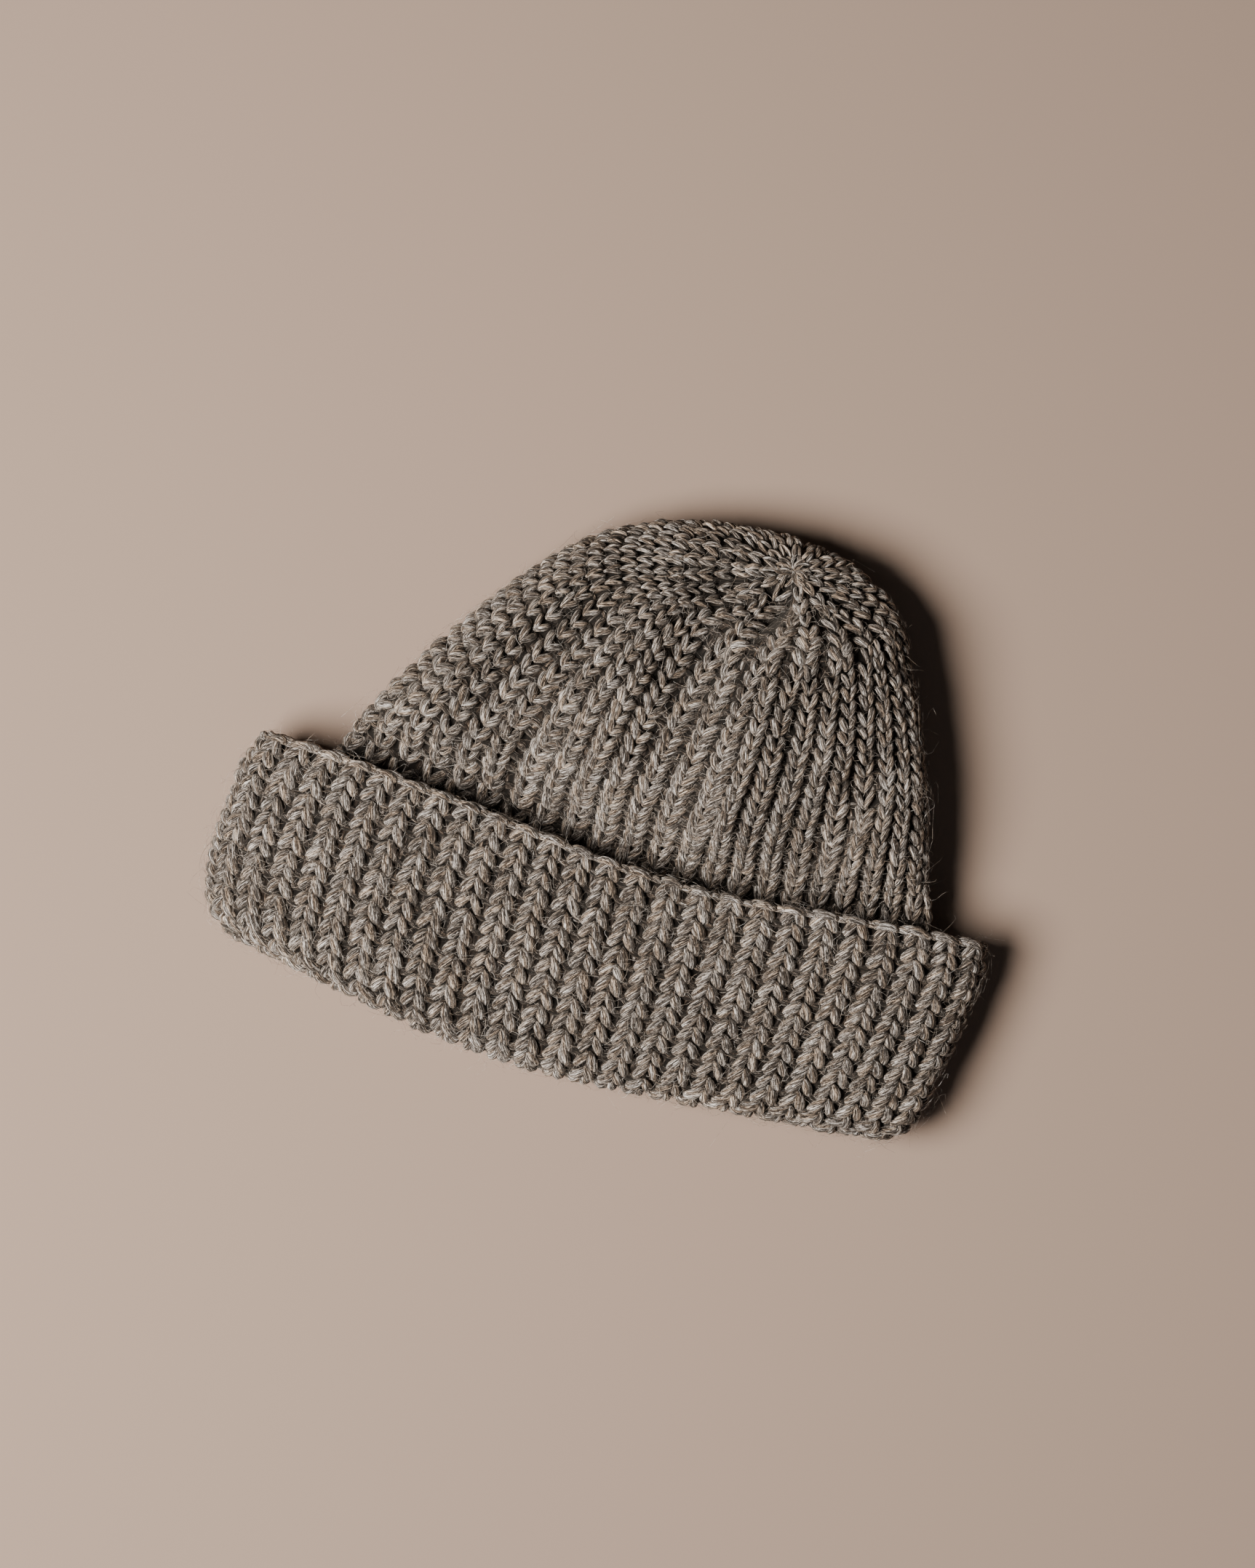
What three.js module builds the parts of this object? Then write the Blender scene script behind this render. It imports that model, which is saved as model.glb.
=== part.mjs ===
// A ribbed knit cap lying on its side, as it rests when it is laid down flat.
// The crown is a hollow knitted dome whose lower band runs down inside the turned-up cuff.
// The cuff is the turned-up layer with the fold at the head opening.
// +X runs along the cuff, +Y from the head opening towards the crown's tip, +Z up. Millimetres.
import * as THREE from "three";

// Cuff
const CUFF_WIDTH = 226; // lying flat, from end to end
const CUFF_DEPTH = 65; // from the fold to the free edge, at the middle
const CUFF_HEIGHT = 32; // all the layers of the lying cuff together
const STAND_OFF_LEFT = 16.5; // the cuff's free edge stands this far off the crown, beyond the gap
const STAND_OFF_RIGHT = 12;

// Crown
const CROWN_HEIGHT = 94; // from the cuff's free edge to the tip where the ribs gather
const CROWN_LOFT = 42; // how high the crown stands up from what it lies on, between its folds

// Knit
const WALL = 4.5; // one layer of the ribbed fabric, over the ribs
const RIBS = 52; // ribs round the cap
const RIB_DEPTH = 1.5; // from a rib's crest to the groove beside it
const LAYER_GAP = 0.4; // between the crown's band and the cuff around it

// Share of a rib's pitch from its middle to each side of its crest. The groove is at a half.
const CREST_HALF = 0.22;
// Superellipse exponents: 2 is an ellipse, and more is squarer.
const CUFF_SQUARENESS = 2.7;
const CROWN_SQUARENESS = 2.35;
const FLATTENED = 0.06; // share of the height that the cap's weight presses flat underneath

// The cuff across its depth. along: share of the depth, from the fold to the free edge.
// left, right: shares of half the width. height: share of the cuff's height.
const CUFF_SECTIONS = [
  { along: 0.0, left: 0.93, right: 0.9, height: 0.9 },
  { along: 0.1, left: 0.975, right: 0.935, height: 0.96 },
  { along: 0.35, left: 1.0, right: 0.965, height: 1.0 },
  { along: 0.6, left: 0.995, right: 0.987, height: 1.0 },
  { along: 0.85, left: 0.98, right: 1.0, height: 1.0 },
  { along: 1.0, left: 0.945, right: 0.985, height: 0.98 },
];

// The sag of the cuff's two edges. across: share of half the width, left to right.
// fold, edge: how far the fold and the free edge rise, as shares of the depth.
const CUFF_BOW = [
  { across: -1.0, fold: 0.26, edge: 0.15 },
  { across: -0.8, fold: 0.185, edge: 0.145 },
  { across: -0.6, fold: 0.118, edge: 0.125 },
  { across: -0.4, fold: 0.055, edge: 0.092 },
  { across: -0.2, fold: 0.012, edge: 0.052 },
  { across: 0.05, fold: 0.0, edge: 0.008 },
  { across: 0.3, fold: 0.034, edge: 0.0 },
  { across: 0.6, fold: 0.073, edge: 0.05 },
  { across: 0.85, fold: 0.112, edge: 0.083 },
  { across: 1.0, fold: 0.16, edge: 0.095 },
];

// The crown's band inside the cuff, which ends just past the cuff's free edge. along: share of the
// cuff's depth. stand_off: share of the stand-off. sink: share of the cuff's height by which the
// band's two faces lie closer together than the cuff leaves room for.
const BAND_SECTIONS = [
  { along: 0.0, stand_off: 0.0, sink: 0.0 },
  { along: 0.5, stand_off: 0.3, sink: 0.0 },
  { along: 1.03, stand_off: 1.0, sink: 0.01 },
];

// The crown above the cuff, a ring to a row. along: share of the crown's height.
// left, right: shares of half the mouth's width, from the mouth's middle. middle, half: where the
// ring's centre lies and how far it reaches up and down, as shares of the loft.
// tilt: degrees that the ring leans back, 0 upright and 90 lying. bow: how much it follows the
// cuff's edge. relief: how deep its ribs are.
const CROWN_SECTIONS = [
  { along: 0.152, left: 0.96, right: 0.955, middle: 0.44, half: 0.37, tilt: 0, bow: 0.7, relief: 1 },
  { along: 0.338, left: 0.872, right: 0.905, middle: 0.475, half: 0.475, tilt: 4, bow: 0.35, relief: 1 },
  { along: 0.524, left: 0.765, right: 0.845, middle: 0.49, half: 0.5, tilt: 9, bow: 0.1, relief: 1 },
  { along: 0.694, left: 0.637, right: 0.775, middle: 0.5, half: 0.49, tilt: 17, bow: 0, relief: 1 },
  { along: 0.829, left: 0.512, right: 0.705, middle: 0.525, half: 0.475, tilt: 27, bow: 0, relief: 1 },
  { along: 0.919, left: 0.385, right: 0.65, middle: 0.56, half: 0.45, tilt: 37, bow: 0, relief: 1 },
  { along: 0.962, left: 0.25, right: 0.585, middle: 0.6, half: 0.41, tilt: 47, bow: 0, relief: 0.9 },
  { along: 0.981, left: 0.11, right: 0.51, middle: 0.64, half: 0.345, tilt: 56, bow: 0, relief: 0.8 },
  { along: 0.99, left: -0.035, right: 0.43, middle: 0.67, half: 0.26, tilt: 62, bow: 0, relief: 0.6 },
  { along: 0.995, left: -0.155, right: 0.35, middle: 0.68, half: 0.15, tilt: 65, bow: 0, relief: 0.3 },
];
const CROWN_TIP = { along: 1, across: 0.262, height: 0.67 };

// Soft folds in the crown's upper face. x: share of half the mouth's width from its middle.
// y: share of the crown's height. turn: degrees from +X that the fold runs. length, width: half
// sizes, as shares of the crown's height. rise: share of the loft, negative for a valley.
const FOLDS = [
  { name: "left_roll", x: -0.7, y: 0.425, turn: 57, length: 0.34, width: 0.079, rise: 0.07 },
  { name: "left_valley", x: -0.42, y: 0.226, turn: 82, length: 0.226, width: 0.085, rise: -0.15 },
  { name: "upper_left_valley", x: -0.35, y: 0.677, turn: 52, length: 0.226, width: 0.08, rise: -0.07 },
  { name: "centre_dent", x: 0.03, y: 0.654, turn: 80, length: 0.304, width: 0.113, rise: -0.17 },
  { name: "centre_ridge", x: 0.28, y: 0.395, turn: 83, length: 0.406, width: 0.096, rise: 0.09 },
  { name: "right_crease", x: 0.61, y: 0.304, turn: 67, length: 0.26, width: 0.074, rise: -0.15 },
  { name: "right_lobe", x: 0.52, y: 0.564, turn: 100, length: 0.226, width: 0.079, rise: 0.03 },
  { name: "mouth_hollow", x: -0.35, y: 0.079, turn: -4, length: 0.372, width: 0.079, rise: -0.1 },
  { name: "tip_pinch", x: 0.233, y: 0.88, turn: 65, length: 0.1, width: 0.045, rise: -0.09 },
];

// A column of a table, read at a value of its key column on a smooth curve through its rows.
function read(table, key, column, at) {
  const last = table.length - 1;
  let i = 0;
  while (i < last - 1 && at > table[i + 1][key]) i++;
  const slope = (j) => {
    const a = Math.max(j - 1, 0);
    const b = Math.min(j + 1, last);
    return (table[b][column] - table[a][column]) / (table[b][key] - table[a][key]);
  };
  const step = table[i + 1][key] - table[i][key];
  const t = THREE.MathUtils.clamp((at - table[i][key]) / step, 0, 1);
  const t2 = t * t;
  const t3 = t2 * t;
  return (
    (2 * t3 - 3 * t2 + 1) * table[i][column] +
    (t3 - 2 * t2 + t) * step * slope(i) +
    (3 * t2 - 2 * t3) * table[i + 1][column] +
    (t3 - t2) * step * slope(i + 1)
  );
}

// A point of a superellipse at an angle, as its shares across and up.
function ovalAt(angle, squareness) {
  const c = Math.cos(angle);
  const s = Math.sin(angle);
  const reach = (Math.abs(c) ** squareness + Math.abs(s) ** squareness) ** (-1 / squareness);
  return [c * reach, s * reach];
}

const RING_STEPS = 720; // samples of a ring when its length is shared out

// The angle at each share of the way round a ring, so that ribs are evenly spaced along it.
// Share 0 is the middle of the upper face, and the share grows towards -X.
function sharedAngles(left, right, half, squareness) {
  const angles = [];
  const lengths = [0];
  let before = null;
  for (let i = 0; i <= RING_STEPS; i++) {
    const angle = Math.PI / 2 + (2 * Math.PI * i) / RING_STEPS;
    const [across, up] = ovalAt(angle, squareness);
    const point = [across * (across > 0 ? right : left), up * half];
    if (before) {
      lengths.push(lengths[i - 1] + Math.hypot(point[0] - before[0], point[1] - before[1]));
    }
    angles.push(angle);
    before = point;
  }
  const total = lengths[RING_STEPS];
  return (share) => {
    const wanted = (share - Math.floor(share)) * total;
    let low = 0;
    let high = RING_STEPS;
    while (high - low > 1) {
      const mid = (low + high) >> 1;
      if (lengths[mid] <= wanted) low = mid;
      else high = mid;
    }
    const t = (wanted - lengths[low]) / (lengths[high] - lengths[low]);
    return angles[low] + t * (angles[high] - angles[low]);
  };
}

const HALF_WIDTH = CUFF_WIDTH / 2;
const MID_HEIGHT = CUFF_HEIGHT / 2;
// The height of the cuff's middle, whose underside is then pressed flat.
const CUFF_AXIS = MID_HEIGHT * (1 - FLATTENED);
const foldRise = (x) => CUFF_DEPTH * read(CUFF_BOW, "across", "fold", x / HALF_WIDTH);
const edgeRise = (x) => CUFF_DEPTH * read(CUFF_BOW, "across", "edge", x / HALF_WIDTH);
// The height along the cap at a share of the cuff's depth, between its bowed edges.
const cuffY = (x, along) =>
  (1 - along) * foldRise(x) + along * (CUFF_DEPTH + edgeRise(x));

// The cuff's outer ring at a share of its depth.
function cuffRing(along) {
  const left = HALF_WIDTH * read(CUFF_SECTIONS, "along", "left", along);
  const right = HALF_WIDTH * read(CUFF_SECTIONS, "along", "right", along);
  const half = MID_HEIGHT * read(CUFF_SECTIONS, "along", "height", along) * (1 + FLATTENED);
  return { left, right, half };
}

const cuffAngle = (() => {
  const { left, right, half } = cuffRing(0.5);
  return sharedAngles(left, right, half, CUFF_SQUARENESS);
})();

// A point of the cuff: a share round it, a share along its depth, a depth under its outer face,
// and a rise above that place.
function cuffPoint(share, along, depth, rise = 0) {
  const { left, right, half } = cuffRing(along);
  const [across, up] = ovalAt(cuffAngle(share), CUFF_SQUARENESS);
  const x = across * ((across > 0 ? right : left) - depth);
  const z = Math.max(CUFF_AXIS + up * (half - depth), depth);
  return new THREE.Vector3(x, cuffY(x, along) + rise, z);
}

// The crown's rings: those of the band inside the cuff, then those of the crown above it.
const BAND_DEPTH = WALL + LAYER_GAP;
const RIM_RISE = WALL + LAYER_GAP; // the band's rim stands this far above the fold
const mouth = (() => {
  const { left, right } = cuffRing(1);
  const mouthLeft = left - BAND_DEPTH - STAND_OFF_LEFT;
  const mouthRight = right - BAND_DEPTH - STAND_OFF_RIGHT;
  return { middle: (mouthRight - mouthLeft) / 2, half: (mouthRight + mouthLeft) / 2 };
})();
const BAND_CLEARANCE = 0.2; // extra, because a ring between two rows of the tables bends a little

const rings = BAND_SECTIONS.map(({ along, stand_off, sink }) => {
  const { left, right, half } = cuffRing(along);
  return {
    y: Math.max(along * CUFF_DEPTH, RIM_RISE),
    bow: 1,
    foldShare: 1 - along,
    left: -(left - BAND_DEPTH - BAND_CLEARANCE - stand_off * STAND_OFF_LEFT),
    right: right - BAND_DEPTH - BAND_CLEARANCE - stand_off * STAND_OFF_RIGHT,
    z: MID_HEIGHT,
    half: half - BAND_DEPTH - BAND_CLEARANCE - MID_HEIGHT * FLATTENED - sink * CUFF_HEIGHT,
    tilt: 0,
    relief: 1,
  };
});
for (const row of CROWN_SECTIONS) {
  rings.push({
    y: CUFF_DEPTH + row.along * CROWN_HEIGHT,
    bow: row.bow,
    foldShare: 0,
    left: mouth.middle - row.left * mouth.half,
    right: mouth.middle + row.right * mouth.half,
    z: row.middle * CROWN_LOFT,
    half: row.half * CROWN_LOFT,
    tilt: row.tilt,
    relief: row.relief,
  });
}
rings.forEach((ring, i) => {
  ring.row = i;
});
const LAST_RING = rings.length - 1;
const tip = {
  x: mouth.middle + CROWN_TIP.across * mouth.half,
  y: CUFF_DEPTH + CROWN_TIP.along * CROWN_HEIGHT,
  z: CROWN_TIP.height * CROWN_LOFT,
};

const crownAngles = rings.map((ring) =>
  sharedAngles((ring.right - ring.left) / 2, (ring.right - ring.left) / 2, ring.half, CROWN_SQUARENESS),
);

// How far the folds lift or sink the upper face at a place.
function foldLift(x, y) {
  let lift = 0;
  for (const fold of FOLDS) {
    const dx = x - (mouth.middle + fold.x * mouth.half);
    const dy = y - (CUFF_DEPTH + fold.y * CROWN_HEIGHT);
    const turn = THREE.MathUtils.degToRad(fold.turn);
    const run = (dx * Math.cos(turn) + dy * Math.sin(turn)) / (fold.length * CROWN_HEIGHT);
    const off = (dy * Math.cos(turn) - dx * Math.sin(turn)) / (fold.width * CROWN_HEIGHT);
    lift += fold.rise * CROWN_LOFT * Math.exp(-run * run - off * off);
  }
  return lift;
}

// A point of the crown's outer face, over the ribs' crests: a share round it and a row of its rings.
function crownBase(share, row) {
  const at = Math.min(row, LAST_RING);
  const column = (name) => read(rings, "row", name, at);
  const i = Math.min(Math.floor(at), LAST_RING - 1);
  const angle =
    crownAngles[i](share) + (at - i) * angleStep(crownAngles[i](share), crownAngles[i + 1](share));
  const [across, up] = ovalAt(angle, CROWN_SQUARENESS);
  const left = column("left");
  const right = column("right");
  const tilt = THREE.MathUtils.degToRad(column("tilt"));
  const x = (left + right) / 2 + (across * (right - left)) / 2;
  const rise = up * column("half");
  const foldPart = Math.max(column("foldShare"), 0);
  const bow = column("bow") * (foldPart * foldRise(x) + (1 - foldPart) * edgeRise(x));
  const y = column("y") + bow - rise * Math.sin(tilt);
  const z = Math.max(column("z") + rise * Math.cos(tilt), 0);
  const upper = THREE.MathUtils.smoothstep(up, 0.05, 0.75);
  const clearOfCuff = THREE.MathUtils.smoothstep(at, BAND_SECTIONS.length - 1, BAND_SECTIONS.length);
  return new THREE.Vector3(x, y, z + upper * clearOfCuff * foldLift(x, y));
}

function angleStep(from, to) {
  const step = to - from;
  return step - 2 * Math.PI * Math.round(step / (2 * Math.PI));
}

const NUDGE_SHARE = 0.002;
const NUDGE_ROW = 0.02;

// The outward normal of the crown's outer face.
function crownNormal(share, row) {
  const low = Math.max(row - NUDGE_ROW, 0);
  const high = Math.min(row + NUDGE_ROW, LAST_RING);
  const along = crownBase(share, high).sub(crownBase(share, low));
  const round = crownBase(share + NUDGE_SHARE, row).sub(crownBase(share - NUDGE_SHARE, row));
  return along.cross(round).normalize();
}

// A point at a depth under the crown's outer face.
function crownPoint(share, row, depth) {
  return crownBase(share, row).addScaledVector(crownNormal(share, row), -depth);
}

// Columns of vertices round the cap: their shares, and how far each lies in a groove.
// A ribbed face has three to a rib, and a plain one two.
const ribbed = [];
const plain = [];
for (let rib = 0; rib < RIBS; rib++) {
  ribbed.push({ share: (rib - CREST_HALF) / RIBS, groove: 0 });
  ribbed.push({ share: (rib + CREST_HALF) / RIBS, groove: 0 });
  ribbed.push({ share: (rib + 0.5) / RIBS, groove: 1 });
  plain.push({ share: rib / RIBS, groove: 0 });
  plain.push({ share: (rib + 0.5) / RIBS, groove: 0 });
}

// The faces between two rings of vertices, walked round both by their columns' shares.
function joinRings(faces, upper, lower) {
  const shareAt = ({ columns }, k) =>
    columns[k % columns.length].share + Math.floor(k / columns.length);
  const vertexAt = ({ first, columns }, k) => first + (k % columns.length);
  let i = 0;
  let j = 0;
  while (i < upper.columns.length || j < lower.columns.length) {
    const stepUpper =
      j === lower.columns.length ||
      (i < upper.columns.length && shareAt(upper, i + 1) <= shareAt(lower, j + 1));
    if (stepUpper) {
      faces.push(vertexAt(upper, i), vertexAt(upper, i + 1), vertexAt(lower, j));
      i++;
    } else {
      faces.push(vertexAt(upper, i), vertexAt(lower, j + 1), vertexAt(lower, j));
      j++;
    }
  }
}

// A closed mesh from rings of points, outer face first. A pair of tips closes its two ends,
// and without them the last ring is joined to the first.
function meshOfRings(name, rows, tips, material) {
  const vertices = [];
  const faces = [];
  const loops = rows.map(({ columns, pointAt }) => {
    const first = vertices.length;
    vertices.push(...columns.map(pointAt));
    return { first, columns };
  });
  loops.slice(1).forEach((loop, i) => joinRings(faces, loops[i], loop));
  if (tips) {
    const outer = { first: vertices.length, columns: [plain[0]] };
    const inner = { first: vertices.length + 1, columns: [plain[0]] };
    vertices.push(...tips);
    joinFan(faces, outer, loops[0], true);
    joinFan(faces, inner, loops[loops.length - 1], false);
  } else {
    joinRings(faces, loops[loops.length - 1], loops[0]);
  }
  const geometry = new THREE.BufferGeometry().setFromPoints(vertices);
  geometry.setIndex(faces);
  geometry.computeVertexNormals();
  const mesh = new THREE.Mesh(geometry, material);
  mesh.name = name;
  return mesh;
}

// The faces between a tip and the ring round it.
function joinFan(faces, tip, loop, outward) {
  for (let k = 0; k < loop.columns.length; k++) {
    const here = loop.first + k;
    const next = loop.first + ((k + 1) % loop.columns.length);
    if (outward) faces.push(tip.first, next, here);
    else faces.push(tip.first, here, next);
  }
}

// Heathered grey-brown wool
const wool = new THREE.MeshStandardMaterial({ color: 0x7c7163, roughness: 1, metalness: 0 });

// The cuff's section, walked from the free edge down its outer face, round the fold, and up its
// inner face. Each row is a place along the depth, a depth under the outer face and a rise.
function cuffSection() {
  const fold = 2 * WALL + LAYER_GAP; // both layers at the fold
  const round = WALL / 2;
  return [
    { along: 1, depth: WALL / 2, rise: 0, relief: 0.3 },
    { along: 1, depth: WALL * 0.08, rise: -round * 0.5, relief: 1 },
    { along: 0.85, depth: 0, rise: 0, relief: 1 },
    { along: 0.55, depth: 0, rise: 0, relief: 1 },
    { along: 0.3, depth: 0, rise: 0, relief: 1 },
    { along: 0.1, depth: 0, rise: 0, relief: 1 },
    { along: 0, depth: fold * 0.1, rise: round * 0.8, relief: 1 },
    { along: 0, depth: fold * 0.5, rise: 0, relief: 0.6 },
    { along: 0, depth: fold * 0.9, rise: round * 0.8, relief: 0 },
    { along: 0, depth: fold, rise: WALL, relief: 0 },
    { along: 0, depth: WALL, rise: WALL, relief: 0 },
    { along: 0.5, depth: WALL, rise: 0, relief: 0 },
    { along: 1, depth: WALL * 0.92, rise: -round * 0.5, relief: 0 },
  ];
}

function makeCuff() {
  const rows = cuffSection().map(({ along, depth, rise, relief }) => ({
    columns: relief > 0 ? ribbed : plain,
    pointAt: ({ share, groove }) =>
      cuffPoint(share, along, depth + groove * relief * RIB_DEPTH, rise),
  }));
  return meshOfRings("cuff", rows, null, wool);
}

// The rows at which the crown carries vertices, counted in its rings from the rim to the tip.
const OUTER_ROWS = [2, 2.5, 3, 3.5, 4, 4.5, 5, 5.6, 6.3, 7, 7.6, 8.3, 9.2, 10.2, 11.2, 12];
const INNER_ROWS = [0, 1, 2, 3, 3.5, 4, 4.5, 5, 5.6, 6.3, 7, 8, 9.2, 11.2];
const HIDDEN_ROWS = [0, 1];

function makeCrown() {
  const plainRow = (row, depth) => ({
    columns: plain,
    pointAt: ({ share }) => crownPoint(share, row, depth),
  });
  const outside = OUTER_ROWS.map((row) => ({
    columns: ribbed,
    pointAt: ({ share, groove }) =>
      crownPoint(share, row, groove * read(rings, "row", "relief", row) * RIB_DEPTH),
  }));
  const band = HIDDEN_ROWS.map((row) => plainRow(row, 0));
  const inside = INNER_ROWS.map((row) => plainRow(row, WALL));
  const outerTip = new THREE.Vector3(tip.x, tip.y, tip.z + foldLift(tip.x, tip.y));
  const leanBack = THREE.MathUtils.degToRad(rings[LAST_RING].tilt);
  const inwards = new THREE.Vector3(0, -Math.cos(leanBack), -Math.sin(leanBack));
  const innerTip = outerTip.clone().addScaledVector(inwards, WALL);
  const rows = [...outside.reverse(), ...band.reverse(), ...inside];
  return meshOfRings("crown", rows, [outerTip, innerTip], wool);
}

const cap = new THREE.Group();
cap.add(makeCrown(), makeCuff());

// The origin is under the middle of the lying cap.
const box = new THREE.Box3().setFromObject(cap);
const middle = box.getCenter(new THREE.Vector3());
cap.children.forEach((mesh) => mesh.position.set(-middle.x, -middle.y, -box.min.z));

export default cap;
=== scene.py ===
"""A ribbed wool cap lying on a plain pale floor, knitted stitch by stitch.

Both layers are one-by-one rib: each column of V-shaped knit stitches stands up as a round cord, and
the purl stitches between two cords lie in the groove. Every surface below is a function of a share
round the cap and a distance along the fabric, worked out as whole arrays.
"""

import math

import bpy
import numpy as np
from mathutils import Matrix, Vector


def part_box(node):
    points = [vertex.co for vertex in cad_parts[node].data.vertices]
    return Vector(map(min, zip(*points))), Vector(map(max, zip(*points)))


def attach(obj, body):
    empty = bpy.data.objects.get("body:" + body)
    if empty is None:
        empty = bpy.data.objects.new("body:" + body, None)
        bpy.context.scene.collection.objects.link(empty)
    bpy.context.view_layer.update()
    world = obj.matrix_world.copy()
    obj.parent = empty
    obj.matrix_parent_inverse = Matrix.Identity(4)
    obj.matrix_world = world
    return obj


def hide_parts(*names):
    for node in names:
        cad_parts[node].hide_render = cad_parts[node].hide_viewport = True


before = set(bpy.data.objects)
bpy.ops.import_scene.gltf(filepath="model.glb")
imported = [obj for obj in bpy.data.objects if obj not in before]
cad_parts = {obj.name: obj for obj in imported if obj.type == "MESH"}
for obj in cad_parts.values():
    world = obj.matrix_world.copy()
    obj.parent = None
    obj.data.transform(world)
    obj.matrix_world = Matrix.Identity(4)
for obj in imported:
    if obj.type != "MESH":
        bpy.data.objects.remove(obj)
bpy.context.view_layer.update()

MM = 0.001
chance = np.random.default_rng(52)

# The cap's sizes in millimetres, the same as its solids have
CUFF_WIDTH = 226.0
CUFF_DEPTH = 65.0
CUFF_HEIGHT = 32.0
STAND_OFF_LEFT = 16.5
STAND_OFF_RIGHT = 12.0
CROWN_HEIGHT = 94.0
CROWN_LOFT = 42.0
WALL = 4.5
RIBS = 52
LAYER_GAP = 0.4
BAND_CLEARANCE = 0.2
CUFF_SQUARENESS = 2.7
CROWN_SQUARENESS = 2.35
FLATTENED = 0.06

# along, left, right, height: shares of the cuff's depth, half width and height
CUFF_SECTIONS = np.array([
    (0.0, 0.93, 0.9, 0.9),
    (0.1, 0.975, 0.935, 0.96),
    (0.35, 1.0, 0.965, 1.0),
    (0.6, 0.995, 0.987, 1.0),
    (0.85, 0.98, 1.0, 1.0),
    (1.0, 0.945, 0.985, 0.98),
])
# across, fold, edge: where along the cuff, and how far its two edges rise
CUFF_BOW = np.array([
    (-1.0, 0.26, 0.15),
    (-0.8, 0.185, 0.145),
    (-0.6, 0.118, 0.125),
    (-0.4, 0.055, 0.092),
    (-0.2, 0.012, 0.052),
    (0.05, 0.0, 0.008),
    (0.3, 0.034, 0.0),
    (0.6, 0.073, 0.05),
    (0.85, 0.112, 0.083),
    (1.0, 0.16, 0.095),
])
# along, stand off, sink: the crown's band inside the cuff
BAND_SECTIONS = np.array([
    (0.0, 0.0, 0.0),
    (0.5, 0.3, 0.0),
    (1.03, 1.0, 0.01),
])
# along, left, right, middle, half, tilt, bow: the crown's rings above the cuff
CROWN_SECTIONS = np.array([
    (0.152, 0.96, 0.955, 0.44, 0.37, 0, 0.7),
    (0.338, 0.872, 0.905, 0.475, 0.475, 4, 0.35),
    (0.524, 0.765, 0.845, 0.49, 0.5, 9, 0.1),
    (0.694, 0.637, 0.775, 0.5, 0.49, 17, 0),
    (0.829, 0.512, 0.705, 0.525, 0.475, 27, 0),
    (0.919, 0.385, 0.65, 0.56, 0.45, 37, 0),
    (0.962, 0.25, 0.585, 0.6, 0.41, 47, 0),
    (0.981, 0.11, 0.51, 0.64, 0.345, 56, 0),
    (0.99, -0.035, 0.43, 0.67, 0.26, 62, 0),
    (0.995, -0.155, 0.35, 0.68, 0.15, 65, 0),
])
TIP_ALONG, TIP_ACROSS, TIP_HEIGHT = 1.0, 0.262, 0.67
# x, y, turn, length, width, rise: soft folds in the crown's upper face, the first nine the solid's
FOLDS = np.array([
    (-0.7, 0.425, 57, 0.34, 0.079, 0.07),
    (-0.42, 0.226, 82, 0.226, 0.085, -0.15),
    (-0.35, 0.677, 52, 0.226, 0.08, -0.07),
    (0.03, 0.654, 80, 0.304, 0.113, -0.17),
    (0.28, 0.395, 83, 0.406, 0.096, 0.09),
    (0.61, 0.304, 67, 0.26, 0.074, -0.15),
    (0.52, 0.564, 100, 0.226, 0.079, 0.03),
    (-0.35, 0.079, -4, 0.372, 0.079, -0.1),
    (0.233, 0.88, 65, 0.1, 0.045, -0.09),
    (0.25, 0.2, 100, 0.13, 0.07, 0.06),
    (0.48, 0.22, 68, 0.18, 0.055, -0.06),
    (-0.55, 0.33, 89, 0.16, 0.07, -0.04),
])
FOLD_DEPTH = 1.3  # the stitches soften a dent, so the folds are this much deeper than the solid's

# The knit, in millimetres
ROW_PITCH = 4.6  # from one stitch to the next along a rib of the cuff
CROWN_ROW = 4.55  # the same on the crown
CUFF_PITCH = 9.1  # from one rib of the cuff to the next, where LEG and BUMP are at full size
CUFF_ROWS = 13  # stitches between the free edge and the start of the fold
YARN = 1.5  # half the yarn's thickness
TWIST = 0.18  # the ply's turn, in radians per millimetre
FLOOR_CLEAR = 0.15
EDGE_DIP = 6.5  # how far the crown's upper face dips where it comes out of the cuff
EDGE_DIP_WIDTH = 8.0
EDGE_RADIUS = 2.1  # the rounded free edge
EDGE_TURN = math.pi * EDGE_RADIUS / ROW_PITCH  # its length, in stitches
FOLD_RADIUS = 4.7  # the turn at the head opening
FOLD_TURN = math.pi * FOLD_RADIUS / ROW_PITCH
ROWS_END = CUFF_ROWS + FOLD_TURN + 4.4  # how far the knitting is followed up inside
FIRST_DECREASE = 13.0  # from the tip, where 13 columns become 26
RIB_SPREAD = 0.24  # share by which the crown's ribs lie wider apart above than their mean
SPREAD_MIDDLE = 0.1  # where they lie widest, as a share round the cap
SECOND_DECREASE = 31.0  # where 26 become all 52
RIB_FALL = 0.13  # how fast a rib's sides fall away, per millimetre across, squared
PURL_RADIUS = 1.15  # half the thickness of the yarn in a groove
EASED_FROM = 35.0  # from the tip, where a long rib starts to be stretched
UPPER_SHARE = 0.27  # the crown's upper piece reaches this far each way round
CUFF_UPPER_SHARE = 0.26
HAIR_REACH = 0.3  # hairs grow this far each way round, just past both sides
HAIR_POINTS = 6
LONGEST_HAIR = 9.0
CROWN_HAIR_TRIES = 9600
CUFF_HAIRS = 4200

SHARE_STEPS = 16 * RIBS  # the cloth's grid round the cap
CROWN_STEP = 0.5
CUFF_STEP = 0.125  # in stitches
ROUND = np.arange(SHARE_STEPS) / SHARE_STEPS


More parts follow.
